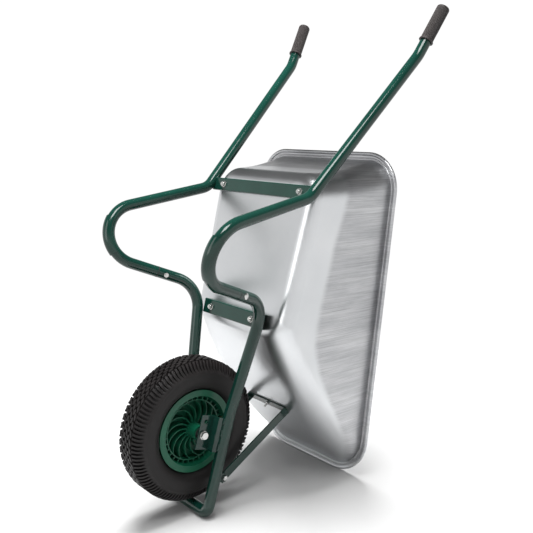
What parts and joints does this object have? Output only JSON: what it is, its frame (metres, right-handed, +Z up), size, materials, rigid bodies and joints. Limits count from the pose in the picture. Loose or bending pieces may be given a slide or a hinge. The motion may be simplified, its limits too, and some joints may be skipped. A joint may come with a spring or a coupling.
{
  "type": "wheelbarrow",
  "caption": "Garden wheelbarrow stood on its nose: deep galvanised tray on a bent tube frame with handles and legs, and one pneumatic wheel.",
  "frame": {"origin": "on the floor, in the middle of the footprint box of the barrow as it stands on its nose bar and the front rim of its tray", "axes": "+Z up as stored, from the nose to the handles; +X the way the open tray faces; -X the legs' side; +Y the barrow's left, along the axle. To set it on its wheel and legs for use, turn it about +Y by -101 degrees: the tray then opens upwards."},
  "size_m": [0.9187, 0.5968, 1.3896],
  "materials": {
    "green_paint": "glossy",
    "galvanised_sheet": "satin",
    "zinc_plate": "satin",
    "green_plastic": "glossy",
    "tyre_rubber": "matte",
    "tube_rubber": "matte",
    "brass": "satin",
    "black_plastic": "matte",
    "bush_plastic": "matte",
    "grip_rubber": "matte"
  },
  "bodies": {
    "frame": {"left_rear_tube": "green_paint", "right_rear_tube": "green_paint", "left_front_tube": "green_paint", "right_front_tube": "green_paint", "nose_bar": "green_paint", "rear_strap": "green_paint", "front_strap": "green_paint", "front_stay": "green_paint", "left_stay_lug": "green_paint", "right_stay_lug": "green_paint", "left_axle_bracket": "green_paint", "right_axle_bracket": "green_paint", "left_leg_shoe": "green_paint", "right_leg_shoe": "green_paint", "splice_bolts": "zinc_plate", "splice_nuts": "zinc_plate", "tray_bolts": "zinc_plate", "tray_washers": "zinc_plate", "tray_nuts": "zinc_plate", "stay_joint_bolts": "zinc_plate", "stay_joint_nuts": "zinc_plate", "stay_tray_bolt": "zinc_plate", "stay_tray_nut": "zinc_plate", "axle_bolt": "zinc_plate", "axle_washers": "zinc_plate", "axle_nut": "zinc_plate", "left_axle_spacer": "zinc_plate", "right_axle_spacer": "zinc_plate", "left_splice_insert": "zinc_plate", "right_splice_insert": "zinc_plate", "tray": "galvanised_sheet", "left_grip": "grip_rubber", "right_grip": "grip_rubber"},
    "wheel": {"rim": "green_plastic", "tyre": "tyre_rubber", "inner_tube": "tube_rubber", "valve_stem": "brass", "valve_cap": "black_plastic", "left_hub_bush": "bush_plastic", "right_hub_bush": "bush_plastic"}
  },
  "joints": [
    {"name": "wheel_spin", "type": "hinge", "parent": "frame", "child": "wheel", "pos_m": [-0.25937, 0, 0.236], "axis": [0, 1, 0], "continuous": true}
  ]
}
